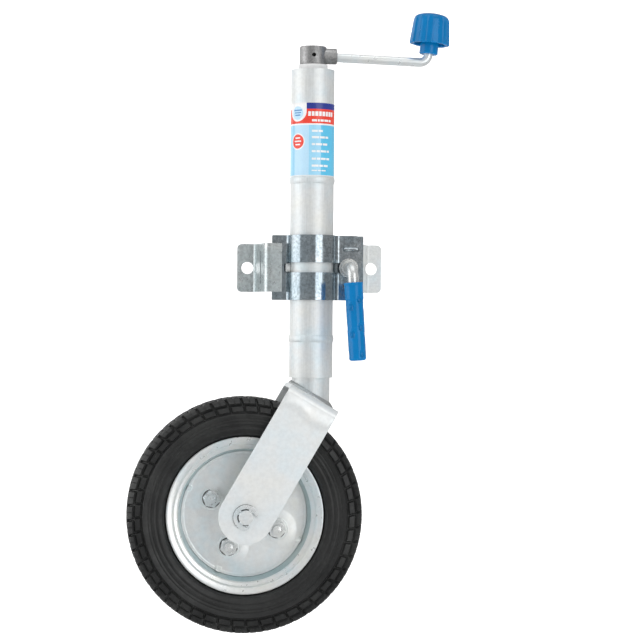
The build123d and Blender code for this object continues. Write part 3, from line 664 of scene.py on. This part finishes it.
def weld_mesh():
    """A rippled bead round the tube on the fork's sloping top."""
    middle = -(AXLE.x + FORK_TOP * sin(FORK_LEAN)) / cos(FORK_LEAN)
    segments = 260
    verts = []
    for out, up in WELD_LINE:
        for j in range(segments):
            angle = 2 * pi * j / segments
            ripple = 0.16 * sin(angle * 62 + 0.8 * sin(angle * 5)) if out > 0.3 and up > 0.2 else 0.0
            swell = 0.25 * sin(angle * 3 + 1) + 0.15 * sin(angle * 7)
            grow = out + ripple + (swell if out > 1 else 0)
            x = middle - up * tan(FORK_LEAN) + (INNER_TUBE_R / cos(FORK_LEAN) + grow) * cos(angle)
            verts.append((x, (INNER_TUBE_R + grow) * sin(angle), FORK_TOP + up + ripple))
    return np.array(verts), [tuple(reversed(f)) for f in grid(len(WELD_LINE), segments, True)]


piece("rippled_weld", weld_mesh(), FORK, MATERIALS["weld"], "fork", ["fork_weld"], 50)


# Wheel bolts, with their threads showing past the nuts

BOLT_CIRCLE = 40.0
BOLT_ANGLES = [radians(65 + 90 * k) for k in range(4)]
BOLT_PLACES = [WHEEL @ shifted(BOLT_CIRCLE * cos(a), BOLT_CIRCLE * sin(a), 0) for a in BOLT_ANGLES]
NUT_TOP = 13.0
BOLT_END = 16.75
BOLT_R = 5.0
BOLT_PITCH = 1.5
THREAD_CUT = (0.0, 0.28, 0.55, 0.28)


def thread_mesh():
    """A threaded stud end about Z, as a loop of turned points whose height follows the helix."""
    length = BOLT_END - NUT_TOP
    count = int(length / BOLT_PITCH * 4)
    profile = [(0.05, NUT_TOP)]
    profile += [(BOLT_R - THREAD_CUT[k % 4], NUT_TOP + length * k / count) for k in range(count)]
    profile += [(BOLT_R - 1.1, BOLT_END), (0.05, BOLT_END)]

    def push(angle, i, r, z):
        wound = z + BOLT_PITCH * angle / (2 * pi) if 0 < i < len(profile) - 2 else z
        return r, min(wound, BOLT_END - 0.05 if i < len(profile) - 2 else BOLT_END)

    return lathe(profile, 40, push)


for index, at in enumerate(BOLT_PLACES):
    piece(f"bolt_thread_{index}", thread_mesh(), at, MATERIALS["nut"], "wheel")


# Pressed discs and rim halves

HUB_TUBE_R = 17.0
DISC_THICK = 2.5
DISC_EDGE = 69.6
DISC_BACK = 0.02
BOSS_STEP = 1.5
EDGE_RISE = 2.0
TAB_START_R = 64.2
TAB_HALF = 3.2
TAB_RISE = 4.6
# The edge's foot is raised behind each tab, up to this far round from its middle
TAB_FOOT = 2.6
TAB_FOOT_HALF = 3.9


def disc_height(x, y):
    """The outer face of a disc: smooth bosses under the bolts and small lanced tabs at the edge."""
    radius, angle = hypot(x, y), atan2(y, x)
    height = DISC_THICK + 0.3 * smooth(radius, HUB_TUBE_R, 30.0)
    for bolt in BOLT_ANGLES:
        away = hypot(x - BOLT_CIRCLE * cos(bolt), y - BOLT_CIRCLE * sin(bolt))
        boss = BOSS_STEP * (1 - smooth(away, 12.0, 27.0)) + BOSS_STEP * (1 - smooth(away, 11.4, 12.6))
        height = max(height, DISC_THICK + boss)
        turn = abs(atan2(sin(angle - bolt), cos(angle - bolt))) * radius
        if radius > TAB_START_R and turn < TAB_HALF:
            height += TAB_RISE * smooth(radius, TAB_START_R, 67.4) * (1 - (turn / 3.3) ** 4)
    return height + EDGE_RISE * smooth(radius, 66.0, 70.4)


def disc_mesh():
    """A pressed disc about Z, with its flat back on Z = 0."""
    web = list(np.linspace(HUB_TUBE_R + 0.6, 60.0, 42))
    edge = list(np.linspace(60.6, DISC_EDGE, 18))
    radii = [HUB_TUBE_R, HUB_TUBE_R] + web + edge + [DISC_EDGE]
    segments = 480
    verts = []
    for i, radius in enumerate(radii):
        for j in range(segments):
            angle = 2 * pi * j / segments
            x, y = radius * cos(angle), radius * sin(angle)
            turns = [abs(atan2(sin(angle - bolt), cos(angle - bolt))) * radius for bolt in BOLT_ANGLES]
            if 0 < i < len(radii) - 1:
                z = disc_height(x, y)
            elif i and min(turns) < TAB_FOOT_HALF:
                z = TAB_FOOT
            else:
                z = DISC_BACK
            verts.append((x, y, z))
    return np.array(verts), [tuple(reversed(f)) for f in grid(len(radii), segments, True)]


# The near rim half, and a thin skin on the inside of its barrel that carries painted shade, as loops of
# (radius, height)
RIM_LINE = [
    (69.9, 0.1), (70.0, 4.0), (71.2, 11.5), (72.8, 18.2), (73.3, 19.8), (74.4, 20.9), (76.0, 21.5),
    (77.8, 21.9), (78.4, 22.4), (78.7, 23.6), (79.2, 24.8), (80.2, 25.6), (82.2, 26.3), (84.6, 26.9),
    (85.9, 27.0), (86.7, 26.4), (86.9, 25.3), (86.3, 24.6), (84.6, 23.6), (81.4, 22.9), (80.2, 21.8),
    (79.2, 19.6), (76.4, 18.4), (75.2, 16.6), (73.6, 10.5), (72.2, 4.0), (72.0, 0.1),
]
WALL_LINE = [
    (69.75, 0.4), (69.85, 4.0), (70.3, 8.0), (71.05, 11.5), (72.65, 18.2), (73.1, 19.6), (73.25, 19.5),
    (72.8, 18.1), (71.2, 11.4), (70.45, 7.9), (70.0, 3.9), (69.9, 0.4),
]


def other_side(shape):
    """The same shape on the wheel's other side."""
    verts, faces = shape
    return verts * np.array([1, 1, -1]), [tuple(reversed(f)) for f in faces]


WHEEL_SHAPES = [
    ("pressed_disc", disc_mesh(), MATERIALS["disc"], ["wheel_disc"], 40),
    ("rolled_rim", lathe(rounded(RIM_LINE), 288), MATERIALS["rim"], ["rim"], 60),
    # The wall skin carries the painted shade in a darker teal
    ("rim_wall", lathe(WALL_LINE, 288), MATERIALS["rim_wall"], [], 60),
]
for side in ("near", "far"):
    for name, shape, material, nodes, crease in WHEEL_SHAPES:
        shape = shape if side == "near" else other_side(shape)
        replaced = [f"{side}_{node}" for node in nodes]
        piece(f"{side}_{name}", shape, WHEEL, material, "wheel", replaced, crease)


# Copies of pressed and machined parts, with softened edges

# Points nearer than this are one point, in millimetres
WELD_GAP = 0.002


def area_normals(mesh, limit_deg):
    """Shading normals weighted by face area, so that flats stay flat beside their rounded edges."""
    normals = [(p.normal.copy(), p.area) for p in mesh.polygons]
    touching = [[] for _ in mesh.vertices]
    for index, polygon in enumerate(mesh.polygons):
        for vertex in polygon.vertices:
            touching[vertex].append(index)
    limit = cos(radians(limit_deg))
    out = []
    for index, polygon in enumerate(mesh.polygons):
        own = normals[index][0]
        for vertex in polygon.vertices:
            total = Vector((0, 0, 0))
            for other in touching[vertex]:
                direction, area = normals[other]
                if direction.dot(own) > limit:
                    total += direction * area
            out.append(total.normalized() if total.length > 0 else own)
    mesh.normals_split_custom_set(out)


def softened(name, width, material, turn_deg=28, keep=None, blend_deg=50):
    """A copy of a CAD node whose sharp edges are rounded, which stands for that node.

    keep(x, y, z), in millimetres, is true where an edge stays sharp.
    """
    source = frame["nodes"][name]
    mesh = source.data.copy()
    mesh.name = f"{name}_soft"
    work = bmesh.new()
    work.from_mesh(mesh)
    bmesh.ops.remove_doubles(work, verts=work.verts, dist=WELD_GAP * MM)
    bmesh.ops.dissolve_limit(work, angle_limit=radians(0.6), verts=work.verts, edges=work.edges)
    sharp = [e for e in work.edges if len(e.link_faces) == 2 and e.calc_face_angle(0) > radians(turn_deg)]
    if keep:
        sharp = [e for e in sharp if not all(keep(*(v.co / MM)) for v in e.verts)]
    bmesh.ops.bevel(
        work,
        geom=sharp,
        offset=width * MM,
        offset_type="OFFSET",
        segments=2,
        profile=0.5,
        affect="EDGES",
        clamp_overlap=True,
        miter_outer="ARC",
    )
    work.to_mesh(mesh)
    work.free()
    mesh.shade_smooth()
    area_normals(mesh, blend_deg)
    mesh.materials.clear()
    mesh.materials.append(material)
    obj = bpy.data.objects.new(f"{name}_soft", mesh)
    bpy.context.scene.collection.objects.link(obj)
    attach(obj, source["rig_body"])
    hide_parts(name)


# How high the step's crest runs across the leg, both in the fork's own millimetres
STEP_CREST = [
    (-33.0, 126.5), (-20.0, 130.6), (-10.0, 132.0), (0.0, 128.6), (7.0, 126.0), (20.0, 126.8), (33.0, 129.5)
]
STEP_HALF = 29.6
STEP_LOW = 108.0
STEP_HIGH = 142.5
STEP_BACK = 46.1
STEP_FACE = 46.23
STEP_RISE = 0.8
STEP_RIDGE = 1.5


def fork_step_mesh(face):
    """The soft edge of the shallow step pressed into a fork leg's outer face."""
    across = np.concatenate([[-STEP_HALF], np.linspace(-STEP_HALF, STEP_HALF, 60), [STEP_HALF]])
    along = np.linspace(STEP_LOW, STEP_HIGH, 60)
    verts = []
    for i, u in enumerate(across):
        crest = float(np.interp(u, *zip(*STEP_CREST)))
        for v in along:
            rise = STEP_RISE * smooth(v, crest - 7.0, crest + 1.0)
            ridge = STEP_RIDGE * smooth(v, crest - 5.0, crest + 2.5)
            ridge *= 1 - smooth(v, crest + 2.5, STEP_HIGH)
            out = STEP_FACE + rise + ridge * smooth(STEP_HALF - abs(u), 0.0, 3.0)
            if i in (0, len(across) - 1):
                out = STEP_BACK
            verts.append((u, -out * face, v))
    faces = []
    for i in range(len(across) - 1):
        for j in range(len(along) - 1):
            a = i * len(along) + j
            quad = (a, a + len(along), a + len(along) + 1, a + 1)
            faces.append(quad if face > 0 else tuple(reversed(quad)))
    return np.array(verts), faces


SIDES = (("near", 1), ("far", -1))
for label, face in SIDES:
    piece(f"{label}_fork_step", fork_step_mesh(face), FORK, MATERIALS["fork"], "fork", (), 60)


# Ribs and lug on the strap


def rib_mesh(half_length, half_height, proud):
    """A rounded pressed rib, long in X, standing proud towards -Y."""
    rows = 33
    cols = 13
    verts = []
    faces = []
    for u in np.linspace(-1, 1, rows):
        for v in np.linspace(-1, 1, cols):
            height = proud * sqrt(max(0.0, 1 - u**8)) * (1 - v * v)
            width = half_height * sqrt(max(0.0, 1 - u**8))
            verts.append((u * half_length, 0.6 - height, v * width))
    for i in range(rows - 1):
        for j in range(cols - 1):
            a = i * cols + j
            faces.append((a, a + cols, a + cols + 1, a + 1))
    return np.array(verts), faces


STRAP_FACE_Y = -37.0
RIB_X = 43.7
RIB_HEIGHTS = (-20.8, 20.8)
LUG_X = -26.6
rib = rib_mesh(half_length=9.0, half_height=2.6, proud=2.2)
for index, height in enumerate(RIB_HEIGHTS):
    at = shifted(RIB_X, STRAP_FACE_Y, height)
    piece(f"strap_rib_{index}", rib, at, MATERIALS["strap"], "strap", (), 60)
lug = rib_mesh(half_length=2.9, half_height=4.8, proud=1.3)
at = shifted(LUG_X, STRAP_FACE_Y - 0.2, 0)
piece("strap_slot_lug", lug, at, MATERIALS["pad"], "strap", (), 60)


def near_tab(x, y, z):
    """True on the left bracket's wall where the fixed half's tab comes through."""
    return x > -62 and abs(z) < 18.5


softened("clamp_strap", 0.55, MATERIALS["strap"])
softened("left_ear_bracket", 0.5, MATERIALS["plate"], keep=near_tab)
softened("right_ear_bracket", 0.5, MATERIALS["pad"])
softened("clamp_back_half", 0.45, MATERIALS["strap"])
softened("fork", 0.5, MATERIALS["fork"])


# Painted shade: thin near-black rings round the clip edges, the axle holes and the nut bases, where the gaps
# fall into shadow


def arc_strip(inner, outer, low, high, from_deg, to_deg, face):
    """A thin flat arc about Z, from one angle to another, facing up or down."""
    steps = 60
    verts = []
    for r, z in ((inner, low), (inner, high), (outer, high), (outer, low)):
        for k in range(steps + 1):
            angle = radians(from_deg + (to_deg - from_deg) * k / steps)
            verts.append((r * cos(angle), r * sin(angle), z * face))
    row = steps + 1
    faces = []
    for i in range(4):
        a, b = i * row, (i + 1) % 4 * row
        faces += [(a + k, b + k, b + k + 1, a + k + 1) for k in range(steps)]
    faces += [(0, 3 * row, 2 * row, row), (steps, row + steps, 2 * row + steps, 3 * row + steps)]
    if face > 0:
        faces = [tuple(reversed(f)) for f in faces]
    return np.array(verts, float), faces


# Inner and outer radius, low and high, then first and last angle in degrees
CLIP_LINES = ((8.03, 9.3, 46.25, 46.45, 40, 290), (13.82, 14.25, 46.25, 46.45, 60, 235))
NUT_LINE = (8.8, 10.25, 5.45, 5.62, 100, 350)
for label, face in SIDES:
    for index, line in enumerate(CLIP_LINES):
        name = f"{label}_clip_grease_{index}"
        piece(name, arc_strip(*line, face), WHEEL, MATERIALS["painted_shade"], "fork", (), 40)
for index, at in enumerate(BOLT_PLACES):
    name = f"nut_grease_{index}"
    piece(name, arc_strip(*NUT_LINE, 1), at, MATERIALS["painted_shade"], "wheel", (), 40)

softened("wheel_nuts", 0.2, MATERIALS["nut"], 20, blend_deg=18)
softened("clamp_screw", 0.3, MATERIALS["hardware"], 50)
softened("near_axle_clip", 0.25, MATERIALS["nut"], 40)
softened("far_axle_clip", 0.25, MATERIALS["nut"], 40)
softened("axle", 0.4, MATERIALS["pad"], 40)


# Printed label, as thin skins of ink on the film

LABEL_THICK = 0.2
INK_THICK = 0.03
# How far a layer of ink reaches down into the one below
INK_SINK = 0.02


def skin(name, outline, low, high, material):
    """A closed thin patch on the tube. outline gives, for each height, its left and right arc angles."""
    widest = max(right - left for _, left, right in outline)
    columns = max(2, int(degrees(widest) / 2) + 2)
    verts = []
    for radius in (low, high):
        for z, left, right in outline:
            for j in range(columns):
                angle = left + (right - left) * j / (columns - 1)
                verts.append((radius * sin(angle), LEG_Y - radius * cos(angle), z))
    rows = len(outline)
    layer = rows * columns
    faces = []
    for i in range(rows - 1):
        for j in range(columns - 1):
            a = i * columns + j
            faces.append((a, a + columns, a + columns + 1, a + 1))
            faces.append((layer + a, layer + a + 1, layer + a + columns + 1, layer + a + columns))
    edge = list(range(columns)) + [i * columns + columns - 1 for i in range(1, rows)]
    edge += [(rows - 1) * columns + j for j in range(columns - 2, -1, -1)]
    edge += [i * columns for i in range(rows - 2, 0, -1)]
    for a, b in zip(edge, edge[1:] + edge[:1]):
        faces.append((a, b, layer + b, layer + a))
    piece(name, (verts, faces), IN_PLACE, material, "leg")


def band(name, bottom, top, left_deg, right_deg, level, material):
    """A plain rectangle of ink. level counts layers of ink upwards from the film."""
    outline = [(z, radians(left_deg), radians(right_deg)) for z in (bottom, top)]
    skin(name, outline, *layer_radii(level), material)


def disc(name, middle_z, middle_deg, radius, level, material, flat_top=None):
    """A round spot of ink, cut off level at flat_top if that is given."""
    outline = []
    for k in range(25):
        up = -cos(pi * k / 24)
        half = max(0.003, sqrt(max(0.0, 1 - up * up)) * radius / TUBE_R)
        z = middle_z + radius * up
        if flat_top is None or z <= flat_top:
            outline.append((z, radians(middle_deg) - half, radians(middle_deg) + half))
    skin(name, outline, *layer_radii(level), material)


def layer_radii(level):
    """The inner and outer radius of a layer of ink."""
    base = TUBE_R + LABEL_THICK + INK_THICK * level
    return base - INK_SINK, base + INK_THICK


# Angles round the tube, in degrees from its front
LEFT = -155
RIGHT = 155
SPLIT = -20.5
band("label_sky", 101.9, 157.2, LEFT, RIGHT, 0, INKS["sky"])
band("label_aqua", 101.9, 157.2, 18, RIGHT, 1, INKS["aqua"])
band("label_ice", 101.9, 157.2, -58, -14, 1, INKS["ice"])
band("label_red", 158.9, 174.9, LEFT, RIGHT, 0, INKS["red"])
band("label_navy", 174.9, 181.7, SPLIT, RIGHT, 0, INKS["navy"])
band("label_white_corner", 172.0, 181.7, -75, SPLIT, 1, INKS["white"])
disc("label_white_round", 172.4, -47, 11.2, 2, INKS["white"], 181.5)
disc("label_emblem", 170.6, -47, 7.4, 3, INKS["ice"])
for k, (z, tall) in enumerate(((173.6, 1.5), (170.9, 1.3), (168.2, 1.5))):
    left, right = -60 + 2 * k, -34 - 2 * k
    band(f"label_emblem_bar_{k}", z - tall / 2, z + tall / 2, left, right, 4, INKS["steel_blue"])
disc("label_badge_edge", 139.1, -46.5, 9.2, 2, INKS["white"])
disc("label_badge", 139.1, -46.5, 7.9, 3, INKS["red"])
for k, (z, half) in enumerate(((143.0, 8), (139.4, 11), (135.7, 8))):
    band(f"label_badge_bar_{k}", z - 0.7, z + 0.7, -46.5 - half, -46.5 + half, 4, INKS["white"])


def text_row(name, z, tall, start_deg, words):
    """A row of small plain blocks that stands for a line of print."""
    at = start_deg
    for k, width in enumerate(words):
        band(f"{name}_{k}", z - tall / 2, z + tall / 2, at, at + width, 4, INKS["white"])
        at += width + 2.2


text_row("label_title", 169.6, 5.0, -16, (7, 7, 8, 7, 8, 7, 8, 7))
text_row("label_subtitle", 162.2, 2.4, -6, (13, 5, 9, 12, 8))
PRINT_LINES = (
    (150.6, 2.3, (15, 12)),
    (143.6, 2.3, (19, 14, 9)),
    (135.9, 2.3, (8, 17, 14)),
    (128.2, 2.3, (10, 9, 16, 8)),
    (119.9, 2.3, (11, 9, 14, 10)),
    (112.2, 2.3, (18, 10, 13)),
    (106.9, 1.3, (14, 8, 12)),
)
for k, (z, tall, words) in enumerate(PRINT_LINES):
    text_row(f"label_line_{k}", z, tall, -6, words)


# Materials on the CAD nodes

LOOKS = {
    "plate": ("left_ear_bracket",),
    "strap": ("clamp_back_half", "clamp_strap"),
    "pad": ("right_ear_bracket",),
    "tube": ("outer_tube", "inner_tube", "top_cap"),
    "fork": ("fork",),
    "rim": ("near_rim", "far_rim", "hub_tube"),
    "disc": ("near_wheel_disc", "far_wheel_disc"),
    "hardware": (
        "clamp_nut",
        "flange_rivets",
        "clamp_washer",
        "wheel_bolts",
        "wheel_nuts",
        "axle",
        "near_axle_clip",
        "far_axle_clip",
        "near_spacer",
        "far_spacer",
    ),
    "rod": ("clamp_screw", "crank_rod"),
    "weld": ("tab_weld", "fork_weld"),
    "steel": (
        "bearing_upper_race",
        "bearing_balls",
        "bearing_lower_race",
        "lift_screw",
        "lift_nut",
        "nut_retaining_ring",
        "knob_push_nut",
    ),
    "dark_pin": ("hub_pin",),
    "cast": ("crank_hub",),
    "blue": ("crank_knob", "clamp_grip"),
    "nylon": ("thrust_washer",),
    "black_nylon": ("near_bush", "far_bush"),
    "rubber": ("tyre",),
    "film": ("tube_label",),
}
for look, names in LOOKS.items():
    for name in names:
        mesh = frame["nodes"][name].data
        mesh.materials.clear()
        mesh.materials.append(MATERIALS[look])


# Floor, lights and camera


def backdrop():
    """A pale floor that sweeps up behind the object."""
    profile = [(-7.0, 0.0), (1.6, 0.0)]
    profile += [(1.6 + 1.2 * sin(radians(a)), 1.2 - 1.2 * cos(radians(a))) for a in range(6, 91, 6)]
    profile += [(2.8, 6.0)]
    verts = [(x, y, FLOOR * MM + z) for x in (-9.0, 9.0) for y, z in profile]
    count = len(profile)
    faces = [(i, count + i, count + i + 1, i + 1) for i in range(count - 1)]
    mesh = bpy.data.meshes.new("backdrop")
    mesh.from_pydata(verts, [], faces)
    mesh.shade_smooth()
    mat = bpy.data.materials.new("backdrop_paper")
    mat.use_nodes = True
    shader = mat.node_tree.nodes["Principled BSDF"]
    shader.inputs["Base Color"].default_value = grey(0.86)
    shader.inputs["Roughness"].default_value = 0.9
    shader.inputs["Emission Color"].default_value = grey(1.0)
    shader.inputs["Emission Strength"].default_value = 0.62
    mesh.materials.append(mat)
    obj = bpy.data.objects.new("backdrop", mesh)
    bpy.context.scene.collection.objects.link(obj)
    obj.visible_glossy = False


def softbox(name, place, target, size, watts):
    """A large soft area light."""
    data = bpy.data.lights.new(name, "AREA")
    data.shape = "RECTANGLE"
    data.size, data.size_y = size
    data.energy = watts
    obj = bpy.data.objects.new(name, data)
    obj.location = Vector(place)
    obj.rotation_euler = (Vector(target) - Vector(place)).to_track_quat("-Z", "Y").to_euler()
    bpy.context.scene.collection.objects.link(obj)


# Place, target and size in metres, and watts
SOFTBOXES = {
    "left_softbox": ((-2.5, -0.3, 0.3), (0, 0, -0.05), (2.2, 2.6), 25),
    "right_softbox": ((1.2, -2.05, 0.3), (0, 0, -0.05), (1.4, 2.4), 19),
    "back_left_softbox": ((-1.35, 2.1, 0.2), (0, 0, -0.05), (1.3, 2.4), 8),
    "top_softbox": ((0.1, -0.6, 2.3), (0, 0, -0.1), (2.4, 1.8), 12),
}
backdrop()
for name, settings in SOFTBOXES.items():
    softbox(name, *settings)


# For each axis, the room's light at a low and a high value of the direction along it
ROOM_LIGHT = (
    ("Y", (0.24, -1.0), (0.34, 0.9)),
    ("Z", (0.04, -0.2), (0.30, 1.0)),
    ("X", (0.04, -1.0), (-0.12, 1.0)),
)


def studio_world():
    """Dim room light, paler behind the object, overhead and on the left."""
    world = bpy.data.worlds.new("studio")
    bpy.context.scene.world = world
    world.use_nodes = True
    nodes, links = world.node_tree.nodes, world.node_tree.links
    direction = nodes.new("ShaderNodeTexCoord").outputs["Generated"]
    split = nodes.new("ShaderNodeSeparateXYZ")
    links.new(direction, split.inputs["Vector"])
    light = None
    for axis, (low, start), (high, end) in ROOM_LIGHT:
        share = spread(nodes, links, split.outputs[axis], low, high, start, end)
        if light:
            total = nodes.new("ShaderNodeMath")
            total.operation = "ADD"
            links.new(light, total.inputs[0])
            links.new(share, total.inputs[1])
            share = total.outputs["Value"]
        light = share
    links.new(light, nodes["Background"].inputs["Color"])


studio_world()

scene = bpy.context.scene
scene.view_settings.view_transform = "Standard"
scene.view_settings.look = "None"

AZIMUTH = radians(-5)
ROLL = radians(0.435)
DISTANCE = 2.2
AIM_HEIGHT = -0.058
AIM_SIDE = 0.010
BACK = Vector((sin(AZIMUTH), -cos(AZIMUTH), 0))
SIDE = Vector((cos(AZIMUTH), sin(AZIMUTH), 0))
aim = Vector((0, LEG_Y * MM, AIM_HEIGHT)) + SIDE * AIM_SIDE
camera_data = bpy.data.cameras.new("camera")
camera_data.sensor_width = 36
camera_data.lens = 111
camera = bpy.data.objects.new("camera", camera_data)
scene.collection.objects.link(camera)
look = (-BACK).to_track_quat("-Z", "Y").to_matrix().to_4x4()
camera.matrix_world = Matrix.Translation(aim + BACK * DISTANCE) @ look @ Matrix.Rotation(ROLL, 4, "Z")
scene.camera = camera
